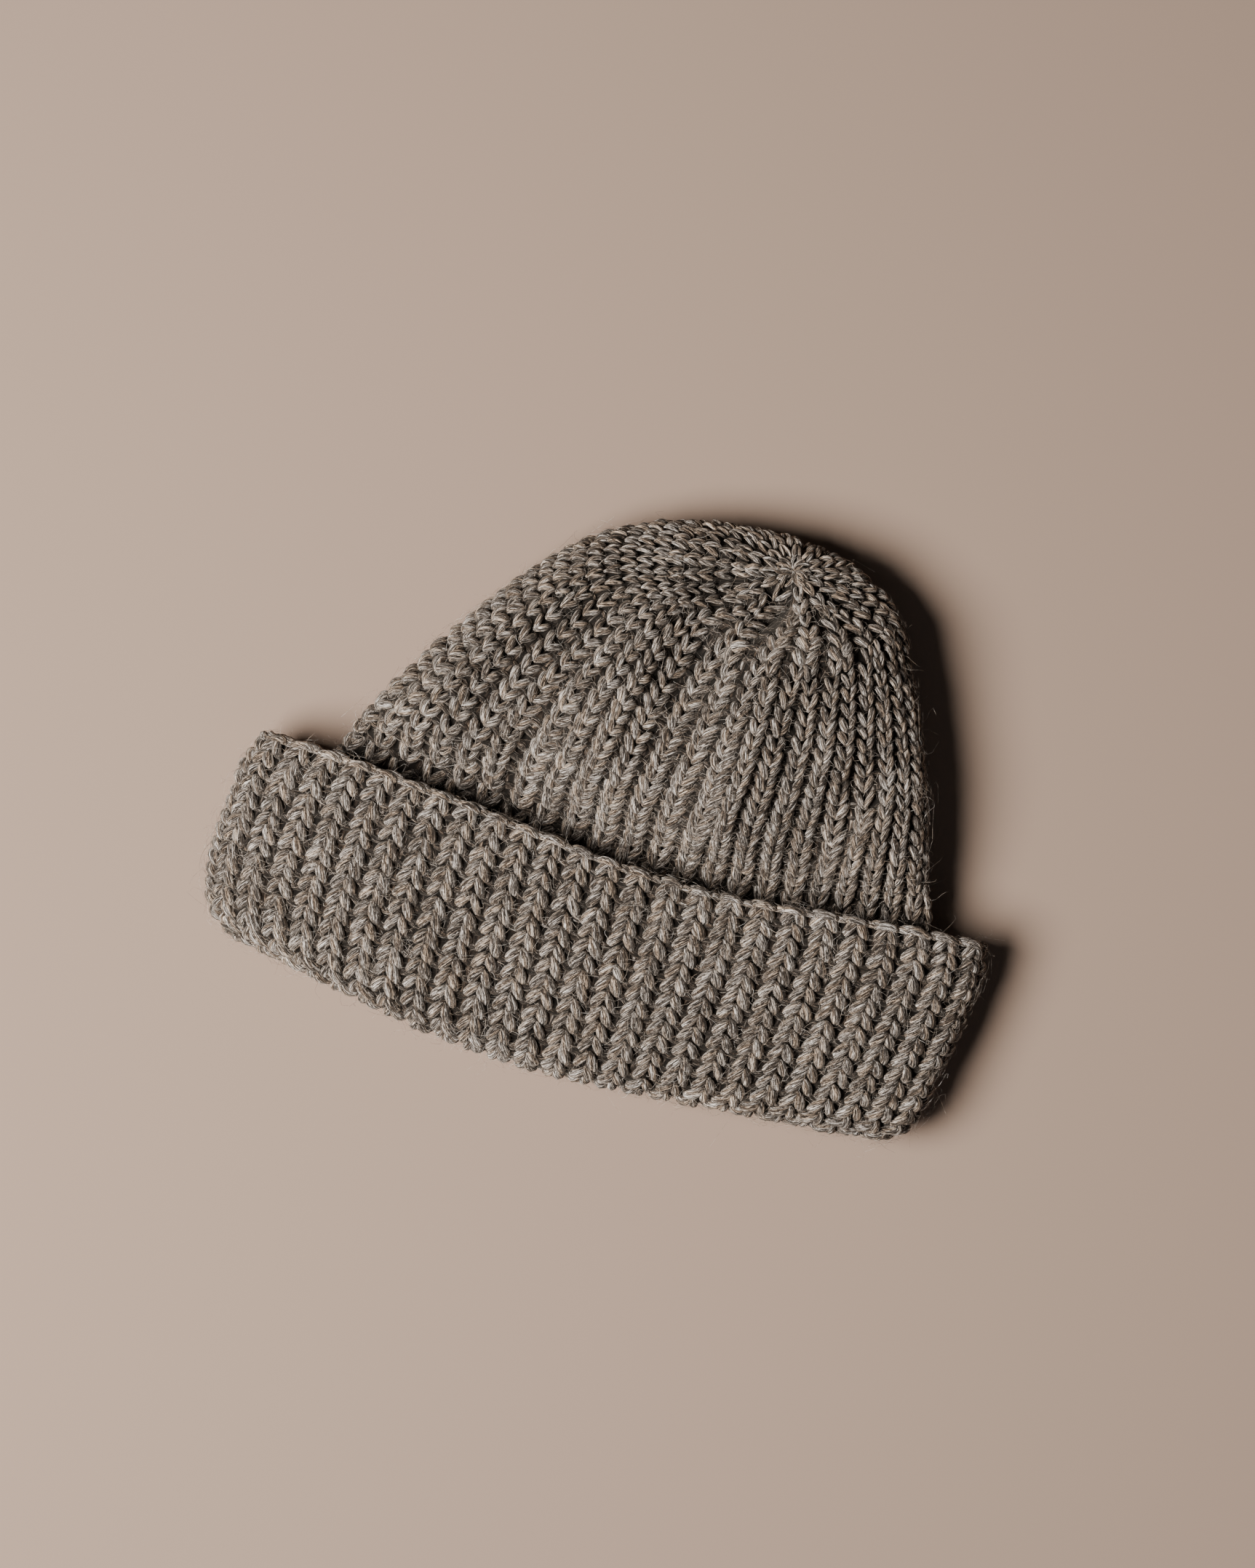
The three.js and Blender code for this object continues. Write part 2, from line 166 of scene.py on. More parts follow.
def through(keys, values, at):
    """A smooth curve through a table: cubic between two keys, with slopes from the neighbours."""
    last = len(keys) - 1
    i = np.clip(np.searchsorted(keys, at) - 1, 0, last - 1)
    before = np.maximum(np.arange(last + 1) - 1, 0)
    after = np.minimum(np.arange(last + 1) + 1, last)
    slope = (values[after] - values[before]) / (keys[after] - keys[before])
    step = keys[i + 1] - keys[i]
    t = np.clip((at - keys[i]) / step, 0.0, 1.0)
    t2 = t * t
    t3 = t2 * t
    return (
        (2 * t3 - 3 * t2 + 1) * values[i]
        + (t3 - 2 * t2 + t) * step * slope[i]
        + (3 * t2 - 2 * t3) * values[i + 1]
        + (t3 - t2) * step * slope[i + 1]
    )


def smooth(low, high, at):
    """An S-shaped step from 0 at low to 1 at high."""
    t = np.clip((at - low) / (high - low), 0.0, 1.0)
    return t * t * (3 - 2 * t)


def oval(angle, squareness):
    """A superellipse: the direction of an angle, reached until |x|^n + |y|^n is one."""
    c = np.cos(angle)
    s = np.sin(angle)
    reach = (np.abs(c) ** squareness + np.abs(s) ** squareness) ** (-1 / squareness)
    return c * reach, s * reach


def shared_angles(left, right, half, squareness, share):
    """The angle at each share of a ring's own length, from the middle of its upper face to -X."""
    angle = math.pi / 2 + np.linspace(0, 2 * math.pi, 1441)
    across, up = oval(angle, squareness)
    x = across * np.where(across > 0, right, left)
    length = np.concatenate([[0.0], np.cumsum(np.hypot(np.diff(x), np.diff(up * half)))])
    return np.interp(share, length / length[-1], angle)


def cuff_half(along, column):
    return through(CUFF_SECTIONS[:, 0], CUFF_SECTIONS[:, column], along)


def bow(x, column):
    """How far the fold (1) or the free edge (2) rises at x."""
    return CUFF_DEPTH * through(CUFF_BOW[:, 0], CUFF_BOW[:, column], x / (CUFF_WIDTH / 2))


def cuff_surface(share, along, depth):
    """The cuff: superellipse rings that widen along it, pressed flat below, between bowed edges."""
    left = CUFF_WIDTH / 2 * cuff_half(along, 1)
    right = CUFF_WIDTH / 2 * cuff_half(along, 2)
    half = CUFF_HEIGHT / 2 * cuff_half(along, 3) * (1 + FLATTENED)
    side_left = CUFF_WIDTH / 2 * cuff_half(0.5, 1)
    side_right = CUFF_WIDTH / 2 * cuff_half(0.5, 2)
    angle = shared_angles(
        side_left, side_right, CUFF_HEIGHT / 2 * (1 + FLATTENED), CUFF_SQUARENESS, share
    )
    across, up = oval(angle, CUFF_SQUARENESS)
    x = across * (np.where(across > 0, right, left) - depth)
    z = np.maximum(CUFF_HEIGHT / 2 * (1 - FLATTENED) + up * (half - depth), depth)
    y = (1 - along) * bow(x, 1) + along * (CUFF_DEPTH + bow(x, 2))
    return np.stack([x, y, z], -1)


def crown_rings():
    """The crown's rings as columns: y, fold share, left, right, z, half height, tilt and bow."""
    left = CUFF_WIDTH / 2 * cuff_half(np.array([1.0]), 1)[0]
    right = CUFF_WIDTH / 2 * cuff_half(np.array([1.0]), 2)[0]
    mouth_left = left - WALL - LAYER_GAP - STAND_OFF_LEFT
    mouth_right = right - WALL - LAYER_GAP - STAND_OFF_RIGHT
    middle = (mouth_right - mouth_left) / 2
    half_mouth = (mouth_right + mouth_left) / 2
    along, stand_off, sink = BAND_SECTIONS.T
    inset = WALL + LAYER_GAP + BAND_CLEARANCE
    half = CUFF_HEIGHT / 2 * cuff_half(along, 3) * (1 + FLATTENED)
    band = np.stack([
        np.maximum(along * CUFF_DEPTH, WALL + LAYER_GAP),
        np.maximum(1 - along, 0),
        -(CUFF_WIDTH / 2 * cuff_half(along, 1) - inset - stand_off * STAND_OFF_LEFT),
        CUFF_WIDTH / 2 * cuff_half(along, 2) - inset - stand_off * STAND_OFF_RIGHT,
        np.full(3, CUFF_HEIGHT / 2),
        half - inset - CUFF_HEIGHT / 2 * FLATTENED - sink * CUFF_HEIGHT,
        np.zeros(3),
        np.ones(3),
    ], 1)
    along, far_left, far_right, mid, reach, tilt, follow = CROWN_SECTIONS.T
    above = np.stack([
        CUFF_DEPTH + along * CROWN_HEIGHT,
        np.zeros(len(along)),
        middle - far_left * half_mouth,
        middle + far_right * half_mouth,
        mid * CROWN_LOFT,
        reach * CROWN_LOFT,
        np.radians(tilt),
        follow,
    ], 1)
    return np.concatenate([band, above]), middle, half_mouth


RINGS, MOUTH_MIDDLE, MOUTH_HALF = crown_rings()
LAST_RING = len(RINGS) - 1


def fold_lift(x, y):
    """The sum of the folds: each a ridge or valley that fades as a bell along and across its run."""
    lift = np.zeros_like(x)
    for place_x, place_y, turn, length, width, rise in FOLDS:
        dx = x - (MOUTH_MIDDLE + place_x * MOUTH_HALF)
        dy = y - (CUFF_DEPTH + place_y * CROWN_HEIGHT)
        c = math.cos(math.radians(turn))
        s = math.sin(math.radians(turn))
        run = (dx * c + dy * s) / (length * CROWN_HEIGHT)
        off = (dy * c - dx * s) / (width * CROWN_HEIGHT)
        lift += FOLD_DEPTH * rise * CROWN_LOFT * np.exp(-run * run - off * off)
    return lift


def crown_surface(share, row):
    """The crown: superellipse rings that shrink, lean back and gather at the tip, with its folds."""
    keys = np.arange(LAST_RING + 1, dtype=float)
    y0, fold_part, left, right, z0, half, tilt, follow = (
        through(keys, RINGS[:, k], row) for k in range(8)
    )
    table = np.stack([
        shared_angles((r[3] - r[2]) / 2, (r[3] - r[2]) / 2, r[5], CROWN_SQUARENESS, share[:, 0])
        for r in RINGS
    ])
    i = np.clip(np.floor(row[0]).astype(int), 0, LAST_RING - 1)
    part = row - i
    angle = table[i].T * (1 - part) + table[i + 1].T * part
    across, up = oval(angle, CROWN_SQUARENESS)
    x = (left + right) / 2 + across * (right - left) / 2
    rise = up * half
    fold_part = np.maximum(fold_part, 0)
    y = y0 + follow * (fold_part * bow(x, 1) + (1 - fold_part) * bow(x, 2)) - rise * np.sin(tilt)
    z = np.maximum(z0 + rise * np.cos(tilt), 0)
    upper = smooth(0.05, 0.75, up)
    z = z + upper * smooth(2, 3, row) * fold_lift(x, y)
    past_edge = y - CUFF_DEPTH - bow(x, 2)
    z = z - upper * EDGE_DIP * np.exp(-(((past_edge - 1) / EDGE_DIP_WIDTH) ** 2))
    return np.stack([x, y, z], -1)


class Fabric:
    """A layer of cloth on a grid: points[share round the cap, distance along it], in millimetres.

    Its normal is the way round crossed with the way along, and a point at any share and distance
    is weighted between its four neighbours.
    """

    def __init__(self, points, first, step):
        self.points = points
        self.first = first
        self.step = step
        along = np.gradient(points, step, axis=1)
        wrapped = np.concatenate([points[-1:], points, points[:1]])
        around = (wrapped[2:] - wrapped[:-2]) * SHARE_STEPS / 2
        self.girth = np.linalg.norm(around, axis=2)
        self.pace = np.linalg.norm(along, axis=2)
        normal = np.cross(around, along)
        self.normal = normal / np.maximum(np.linalg.norm(normal, axis=2, keepdims=True), 1e-9)

    def read(self, grid, share, run):
        part_i, i = np.modf((share % 1.0) * SHARE_STEPS)
        part_j, j = np.modf(np.clip((run - self.first) / self.step, 0, grid.shape[1] - 1.001))
        i = i.astype(int) % SHARE_STEPS
        j = j.astype(int)
        after = (i + 1) % SHARE_STEPS
        if grid.ndim == 3:
            part_i = part_i[..., None]
            part_j = part_j[..., None]
        near = grid[i, j] * (1 - part_i) + grid[after, j] * part_i
        far = grid[i, j + 1] * (1 - part_i) + grid[after, j + 1] * part_i
        return near * (1 - part_j) + far * part_j

    def place(self, share, run, lift):
        """Points at a share and a distance along, lifted off the cloth, and the cloth's normals."""
        out = self.read(self.normal, share, run)
        out /= np.maximum(np.linalg.norm(out, axis=-1, keepdims=True), 1e-9)
        return self.read(self.points, share, run) + out * np.asarray(lift)[..., None], out


def crown_fabric():
    """The crown from its tip to its rim inside the cuff, in equal steps of length down each rib."""
    rows = np.arange(LAST_RING, -0.001, -0.05)[None, :]
    grid = crown_surface(ROUND[:, None], rows)
    tip = np.array([
        MOUTH_MIDDLE + TIP_ACROSS * MOUTH_HALF,
        CUFF_DEPTH + TIP_ALONG * CROWN_HEIGHT,
        TIP_HEIGHT * CROWN_LOFT,
    ])
    tip[2] += fold_lift(tip[:1], tip[1:2])[0]
    part = np.linspace(0, 1, 12)[None, :-1, None]
    points = np.concatenate([tip + (grid[:, :1] - tip) * part, grid], 1)
    size = np.linalg.norm(np.diff(points, axis=1), axis=2)
    length = np.concatenate([np.zeros((SHARE_STEPS, 1)), np.cumsum(size, axis=1)], 1)
    mean = length[:, -1].mean()
    run = np.arange(0, mean, CROWN_STEP)
    # each rib reaches the rim at the same count of rows: the long ones are stretched a little
    even = np.stack([
        np.stack([
            np.interp(run + (size[-1] - mean) * smooth(EASED_FROM, mean, run), size, place[:, k])
            for k in range(3)
        ], -1)
        for size, place in zip(length, points)
    ])
    return Fabric(even, 0.0, CROWN_STEP)


def cuff_fabric():
    """The cuff by rows of stitches: over its free edge, down its outer face, and round the fold.

    Both turns are half circles, of half a layer at the free edge and of both layers at the fold,
    and past the fold the same cloth runs up inside the head opening.
    """
    row = np.arange(-EDGE_TURN, ROWS_END + 0.01, CUFF_STEP)[None, :]
    edge = np.clip(-row / EDGE_TURN, 0, 1) * math.pi
    fold = np.clip((row - CUFF_ROWS) / FOLD_TURN, 0, 1) * math.pi
    inside = np.maximum(row - CUFF_ROWS - FOLD_TURN, 0) * ROW_PITCH / CUFF_DEPTH
    top = 1 - EDGE_RADIUS / CUFF_DEPTH
    bottom = FOLD_RADIUS / CUFF_DEPTH
    along = top + (bottom - top) * np.clip(row / CUFF_ROWS, 0, 1)
    along += EDGE_RADIUS / CUFF_DEPTH * np.sin(edge) - bottom * np.sin(fold) + inside
    depth = EDGE_RADIUS * (1 - np.cos(edge)) + FOLD_RADIUS * (1 - np.cos(fold))
    return Fabric(cuff_surface(ROUND[:, None], along, depth), -EDGE_TURN, CUFF_STEP)


def unit(v):
    return v / np.maximum(np.linalg.norm(v, axis=-1, keepdims=True), 1e-9)


def yarns(centre, radius, up, sides, tint):
    """Closed tubes round many centre lines at once: centre[yarn, point], radius[yarn, point].

    A ring at each point is centre + radius * (cos(turn) * side + sin(turn) * top), where side is
    the tangent crossed with up, and a pole closes each end. The strand coordinates are the length
    along the yarn and the place across it, turned by the ply's twist.
    """
    count, steps, _ = centre.shape
    tangent = unit(np.gradient(centre, axis=1))
    side = unit(np.cross(tangent, up))
    top = np.cross(side, tangent)
    turn = 2 * math.pi * np.arange(sides) / sides
    wide = radius[..., None, None]
    ring = centre[:, :, None] + wide * (
        np.cos(turn)[:, None] * side[:, :, None] + np.sin(turn)[:, None] * top[:, :, None]
    )
    ends = np.stack([
        centre[:, 0] - tangent[:, 0] * radius[:, :1] * 0.7,
        centre[:, -1] + tangent[:, -1] * radius[:, -1:] * 0.7,
    ], 1)
    points = np.concatenate([ring.reshape(count, -1, 3), ends], 1)
    size = np.linalg.norm(np.diff(centre, axis=1), axis=2)
    length = np.concatenate([np.zeros((count, 1)), np.cumsum(size, axis=1)], 1)
    length += chance.uniform(0, 900, (count, 1))
    spin = turn[None, None] + TWIST * length[..., None]
    across = np.stack([
        np.broadcast_to(length[..., None], spin.shape),
        wide[..., 0] * np.cos(spin),
        wide[..., 0] * np.sin(spin),
    ], -1).reshape(count, -1, 3)
    tip = np.stack([length[:, [0, -1]], np.zeros((count, 2)), np.zeros((count, 2))], -1)
    strand = np.concatenate([across, tip], 1)
    i, j = np.meshgrid(np.arange(steps - 1), np.arange(sides), indexing="ij")
    a = i * sides + j
    b = i * sides + (j + 1) % sides
    c = b + sides
    d = a + sides
    j = np.arange(sides)
    k = (j + 1) % sides
    start = np.full(sides, steps * sides)
    last = (steps - 1) * sides
    faces = np.concatenate([
        np.stack([a, d, c], -1).reshape(-1, 3),
        np.stack([a, c, b], -1).reshape(-1, 3),
        np.stack([start, j, k], -1),
        np.stack([start + 1, last + k, last + j], -1),
    ])
    each = points.shape[1]
    faces = faces[None] + (np.arange(count) * each)[:, None, None]
    return (
        points.reshape(-1, 3),
        faces.reshape(-1, 3),
        strand.reshape(-1, 3),
        np.repeat(np.broadcast_to(tint, (count,)), each),
    )


def joined(parts):
    """Several sets of points, faces, strand coordinates and tints as one."""
    first = np.cumsum([0] + [len(p[0]) for p in parts[:-1]])
    return (
        np.concatenate([p[0] for p in parts]),
        np.concatenate([p[1] + n for p, n in zip(parts, first)]),
        np.concatenate([p[2] for p in parts]),
        np.concatenate([p[3] for p in parts]),
    )


def add_piece(name, node, parts, material):
    """A mesh of triangles from points in millimetres, with its strand and tint attributes."""
    points, faces, strand, tint = joined(parts)
    place = (points + SHIFT) * MM
    place[:, 2] = np.maximum(place[:, 2], FLOOR_CLEAR * MM)
    mesh = bpy.data.meshes.new(name)
    mesh.vertices.add(len(place))
    mesh.vertices.foreach_set("co", place.ravel())
    mesh.loops.add(faces.size)
    mesh.loops.foreach_set("vertex_index", faces.ravel().astype(np.int32))
    mesh.polygons.add(len(faces))
    mesh.polygons.foreach_set("loop_start", np.arange(0, faces.size, 3, dtype=np.int32))
    mesh.attributes.new("strand", "FLOAT_VECTOR", "POINT").data.foreach_set(
        "vector", strand.ravel()
    )
    mesh.attributes.new("tint", "FLOAT", "POINT").data.foreach_set("value", tint)
    mesh.update(calc_edges=True)
    mesh.validate()
    mesh.shade_smooth()
    mesh.materials.append(material)
    piece = bpy.data.objects.new(name, mesh)
    bpy.context.scene.collection.objects.link(piece)
    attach(piece, "root")
    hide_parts(node)
    return piece


# A knit stitch is two legs of yarn in a V. across, along, lift, thick: the middle line of one leg
# from the point of the V to its open end, in millimetres, and its thickness as a share.
LEG = np.array([
    (0.15, -2.75, -1.6, 0.58),
    (0.55, -2.05, -0.65, 0.86),
    (1.12, -1.3, -0.05, 1.02),
    (1.75, -0.4, 0.14, 1.1),
    (2.32, 0.5, 0.0, 1.08),
    (2.75, 1.3, -0.45, 0.97),
    (3.0, 2.15, -1.5, 0.62),
])


def rib_stitches(fabric, share, run, toward, scale, row_scale, sides):
    """The legs of knit stitches, left and right, on a rib whose sides fall away as a cord's do."""
    count = len(share)
    parts = []
    both = chance.normal(0, 1, (count, 4))
    for hand in (-1, 1):
        own = chance.normal(0, 1, (count, 6))
        thick = YARN * scale * (1 + 0.07 * own[:, 0])
        across = LEG[None, :, 0] * scale[:, None] * (1 + 0.05 * both[:, :1]) * hand
        across = across + (0.08 * both[:, 1] + 0.07 * own[:, 1])[:, None]
        along = LEG[None, :, 1] * row_scale[:, None]
        along = along + (0.2 * both[:, 2] + 0.17 * own[:, 2])[:, None]
        along = along + LEG[None, :, 1] * 0.08 * own[:, 3:4]
        lift = LEG[None, :, 2] * scale[:, None] - RIB_FALL * across**2 / scale[:, None]
        lift = lift - thick[:, None] + (0.14 * both[:, 3] + 0.12 * own[:, 4])[:, None]
        girth = np.maximum(fabric.read(fabric.girth, share, run), 1.0)[:, None]
        pace = np.maximum(fabric.read(fabric.pace, share, run), 0.2)[:, None]
        centre, up = fabric.place(
            share[:, None] + across / girth, run[:, None] + toward * along / pace, lift
        )
        tint = 0.035 * both[:, 0] + 0.03 * own[:, 5]
        parts.append(yarns(centre, LEG[None, :, 3] * thick[:, None], up, sides, tint))
    return joined(parts)


# A purl stitch in a groove is a short strand across it. across, lift, thick: its middle line.
BUMP = np.array([
    (-2.3, -0.9, 0.8),
    (-1.2, -0.3, 1.0),
    (0.0, 0.0, 1.1),
    (1.2, -0.3, 1.0),
    (2.3, -0.9, 0.8),
])


def groove_stitches(fabric, share, run, toward, scale, depth):
    """Purl bumps: strands across a groove, bowed along it and lifted in the middle."""
    count = len(share)
    own = chance.normal(0, 1, (count, 5))
    across = BUMP[None, :, 0] * scale[:, None] * (1 + 0.08 * own[:, :1])
    along = 0.35 * across * own[:, 1:2] * 0.5 - 0.12 * across**2 + 0.3 * own[:, 2:3]
    lift = BUMP[None, :, 1] * scale[:, None] - depth + 0.12 * own[:, 3:4]
    girth = np.maximum(fabric.read(fabric.girth, share, run), 1.0)[:, None]
    pace = np.maximum(fabric.read(fabric.pace, share, run), 0.2)[:, None]
    centre, up = fabric.place(
        share[:, None] + across / girth, run[:, None] + toward * along / pace, lift
    )
    thick = BUMP[None, :, 2] * (PURL_RADIUS * scale * (1 + 0.1 * own[:, 4]))[:, None]
    # tint lowered by 0.16: painted shade on the purl yarn down in the groove
    return yarns(centre, thick, up, 5, 0.06 * own[:, 0] - 0.16)


def loose_fibres(fabric, share, run, longest):
    """Stray wool hairs: arcs of random length and bend that start in the cloth and stand off it."""
    count = len(share)
    base, up = fabric.place(share, run, chance.uniform(-1.6, 0.05, count))
    after, _ = fabric.place(share, run + 0.3, np.full(count, -0.5))
    flow = unit(after - base + up * 1e-4)
    flow = unit(flow - up * np.sum(flow * up, -1, keepdims=True))
    cross = np.cross(up, flow)
    turn = chance.uniform(0, 2 * math.pi, count)[:, None]
    way = flow * np.cos(turn) + cross * np.sin(turn)
    off = np.cross(up, way)
    size = np.minimum(chance.lognormal(1.3, 0.5, count), longest)[:, None, None]
    part = np.linspace(0, 1, HAIR_POINTS)[None, :, None]
    bend = chance.normal(0, 0.7, count)[:, None, None]
    curl = chance.normal(0, 0.8, count)[:, None, None]
    stand = np.abs(chance.normal(0, 0.13, count))[:, None, None] + 0.03
    high = np.minimum(size * stand, 2.2)
    centre = (
        base[:, None]
        + way[:, None] * size * part
        + off[:, None] * size * (bend * part**2 + curl * np.sin(2 * math.pi * part) / 3)
        + up[:, None] * high * np.sin(part * math.pi * 0.75)
    )
    wide = chance.uniform(0.022, 0.045, count)[:, None] * np.linspace(1, 0.5, HAIR_POINTS)[None]
    tint = chance.normal(0.02, 0.22, count)
    return yarns(centre, wide, np.broadcast_to(up[:, None], centre.shape), 3, tint)


def sheet_between(fabric, share, runs, lifts, closed, pole=None):
    """A closed skin: rings at each distance and lift, joined in order, and the last to the first.

    With a pole, the rings start and end on it instead, so the skin is a double dome.
    """
    around = len(share)
    points = []
    for run, lift in zip(runs, lifts):
        lift_here = lift if np.ndim(lift) else np.full(around, float(lift))
        points.append(fabric.place(share, np.full(around, float(run)), lift_here)[0])
    rings = len(points)
    vertices = np.concatenate(points)
    i, j = np.meshgrid(np.arange(rings if closed else rings - 1), np.arange(around), indexing="ij")
    a = i * around + j
    b = i * around + (j + 1) % around
    c = ((i + 1) % rings) * around + (j + 1) % around
    d = ((i + 1) % rings) * around + j
    faces = [np.stack([a, b, c], -1).reshape(-1, 3), np.stack([a, c, d], -1).reshape(-1, 3)]
    if pole is not None:
        j = np.arange(around)
        k = (j + 1) % around
        first = np.full(around, len(vertices))
        last = (rings - 1) * around
        faces.append(np.stack([first, k, j], -1))
        faces.append(np.stack([first + 1, last + j, last + k], -1))
        vertices = np.concatenate([vertices, pole])
    length = np.arange(rings) * 1.0
    strand = np.stack(np.broadcast_arrays(
        length[:, None], np.arange(around)[None] * 0.3, np.zeros((1, 1))
    ), -1).reshape(-1, 3)
    if pole is not None:
        strand = np.concatenate([strand, np.zeros((2, 3))])
    # the whole skin's tint is lowered by 0.22 as painted shade between the stitches
    return vertices, np.concatenate(faces), strand, np.full(len(vertices), -0.22)


def linear(colour):
    """An sRGB hex colour as linear red, green, blue and 1."""
    value = np.array([int(colour[i:i + 2], 16) for i in (1, 3, 5)]) / 255
    value = np.where(value <= 0.04045, value / 12.92, ((value + 0.055) / 1.055) ** 2.4)
    return (*value, 1.0)


def add(tree, kind, settings=(), inputs=(), links=()):
    """A node with its settings, its sockets' values and its links."""
    node = tree.nodes.new(kind)
    for key, value in dict(settings).items():
        setattr(node, key, value)
    sockets = {s.name: s for s in node.inputs if s.enabled}
    for socket, value in dict(inputs).items():
        spot = node.inputs[socket] if isinstance(socket, int) else sockets[socket]
        spot.default_value = value
    for socket, source in dict(links).items():
        spot = node.inputs[socket] if isinstance(socket, int) else sockets[socket]
        tree.links.new(source, spot)
    return node


def new_material(name):
    material = bpy.data.materials.new(name)
    material.use_nodes = True
    material.node_tree.nodes.clear()
    return material, material.node_tree


def heathered_wool(name, shades, painted_light_shift):
    """Undyed wool spun from dark and pale fleece: matt, streaked along the yarn by its fibres.

    Streaks are a noise stretched along the strand coordinates. A fibre is 0.03 mm thick, too fine
    to show, so the streaks are drawn 0.35 mm wide, as the locks that lie together in the ply.
    """
    material, tree = new_material(name)
    strand = add(tree, "ShaderNodeAttribute", {"attribute_name": "strand"}).outputs["Vector"]
    tint = add(tree, "ShaderNodeAttribute", {"attribute_name": "tint"}).outputs["Fac"]
    fine = add(tree, "ShaderNodeMapping", (), {"Scale": (0.38, 4.2, 4.2)}, {"Vector": strand})
    fibres = add(
        tree, "ShaderNodeTexNoise", (),
        {"Scale": 1.0, "Detail": 3.0, "Roughness": 0.62, "Distortion": 0.5},
        {"Vector": fine.outputs[0]},
    ).outputs["Fac"]
    broad = add(tree, "ShaderNodeMapping", (), {"Scale": (0.2, 1.4, 1.4)}, {"Vector": strand})
    locks = add(
        tree, "ShaderNodeTexNoise", (), {"Scale": 1.0, "Detail": 2.0},
        {"Vector": broad.outputs[0]},
    ).outputs["Fac"]
    # painted_light_shift moves the whole ramp: below zero it is painted shade, above zero a painted
    # highlight, on copies of the same wool
    contrast = add(
        tree, "ShaderNodeMath", {"operation": "MULTIPLY_ADD"}, {1: 3.4, 2: -1.2 + painted_light_shift},
        {0: fibres},
    ).outputs[0]
    mixed = add(
        tree, "ShaderNodeMath", {"operation": "MULTIPLY_ADD"}, {1: 0.7}, {0: locks, 2: contrast}
    ).outputs[0]
    shifted = add(
        tree, "ShaderNodeMath", {"operation": "SUBTRACT"}, {1: 0.35}, {0: mixed}
    ).outputs[0]
    value = add(tree, "ShaderNodeMath", {"operation": "ADD"}, (), {0: shifted, 1: tint}).outputs[0]
    ramp = add(tree, "ShaderNodeValToRGB", (), (), {"Fac": value})
    stops = ramp.color_ramp.elements
    while len(stops) < len(shades):
        stops.new(0.5)
    for stop, (place, colour) in zip(stops, shades):
        stop.position = place
        stop.color = linear(colour)
    patch = add(tree, "ShaderNodeMapping", (), {"Scale": (0.11, 0.9, 0.9)}, {"Vector": strand})
    warmth = add(
        tree, "ShaderNodeTexNoise", (), {"Scale": 1.0, "Detail": 1.0},
        {"Vector": patch.outputs[0]},
    ).outputs["Fac"]
    share_of_warm = add(
        tree, "ShaderNodeMapRange", (), {"From Min": 0.42, "From Max": 0.64, "To Max": 0.85},
        {"Value": warmth},
    ).outputs[0]
    blend = add(
        tree, "ShaderNodeMix", {"data_type": "RGBA", "blend_type": "MULTIPLY"},
        {"B": linear("#f2dcc4")}, {"Factor": share_of_warm, "A": ramp.outputs["Color"]},
    )
    colour = next(s for s in blend.outputs if s.enabled)
    bump = add(
        tree, "ShaderNodeBump", (), {"Strength": 0.75, "Distance": 0.00035}, {"Height": fibres}
    )
    shader = add(
        tree, "ShaderNodeBsdfPrincipled", (),
        {
            "Roughness": 0.95,
            "Specular IOR Level": 0.25,
            "Sheen Weight": 0.25,
            "Sheen Roughness": 0.6,
            "Sheen Tint": linear("#d9d0c4"),
        },
        {"Base Color": colour, "Normal": bump.outputs["Normal"]},
    )
    add(tree, "ShaderNodeOutputMaterial", (), (), {"Surface": shader.outputs[0]})
    return material


WOOL_SHADES = [
    (0.0, "#0f0c0a"),
    (0.28, "#2c2622"),
    (0.5, "#58514c"),
    (0.74, "#a59e98"),
    (1.0, "#f4f0eb"),
]


CROWN = crown_fabric()
CUFF = cuff_fabric()
cuff_low, cuff_high = (np.array(corner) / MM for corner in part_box("cuff"))
outer = CUFF.points.reshape(-1, 3)
SHIFT = np.array([
    (cuff_low[0] + cuff_high[0] - outer[:, 0].min() - outer[:, 0].max()) / 2,
    cuff_low[1] - outer[:, 1].min(),
    0.0,
])

wool = heathered_wool("heathered wool yarn", WOOL_SHADES, 0.0)
# the same wool, darkened by 0.22 as painted shade, for the purl yarn in the grooves and the backing
# between stitches
wool_in_painted_shade = heathered_wool("heathered wool yarn, darkened as painted shade", WOOL_SHADES, -0.22)
# the same wool, lightened by 0.2 as a painted highlight on the loose hairs
wool_hair_painted_highlight = heathered_wool("loose wool hairs, lightened as painted highlight", WOOL_SHADES, 0.2)

# The cuff
columns = np.arange(RIBS)
rows = np.arange(0.45, ROWS_END - 0.5, 1.0)
share, row = (a.ravel() for a in np.meshgrid(columns / RIBS, rows, indexing="ij"))
pitch = CUFF.read(CUFF.girth, share, row) / RIBS
scale = np.clip(pitch / CUFF_PITCH, 0.55, 1.1)
row_scale = np.clip(CUFF.read(CUFF.pace, share, row) / ROW_PITCH, 0.6, 1.2)
top = (share < CUFF_UPPER_SHARE) | (share > 1 - CUFF_UPPER_SHARE)
for side, picked, sides in (("upper", top, 8), ("under", ~top, 6)):
    part = rib_stitches(
        CUFF, share[picked], row[picked], 1, scale[picked], row_scale[picked], sides
    )
    add_piece(f"cuff_stitches_{side}", "cuff", [part], wool)

groove, row = (
    a.ravel() for a in np.meshgrid((columns + 0.5) / RIBS, rows + 0.5, indexing="ij")
)
scale = np.clip(CUFF.read(CUFF.girth, groove, row) / RIBS / CUFF_PITCH, 0.55, 1.1)
# the purl yarn in the grooves, in the wool darkened as painted shade
add_piece("cuff_purl", "cuff", [groove_stitches(CUFF, groove, row, 1, scale, 3.0)], wool_in_painted_shade)


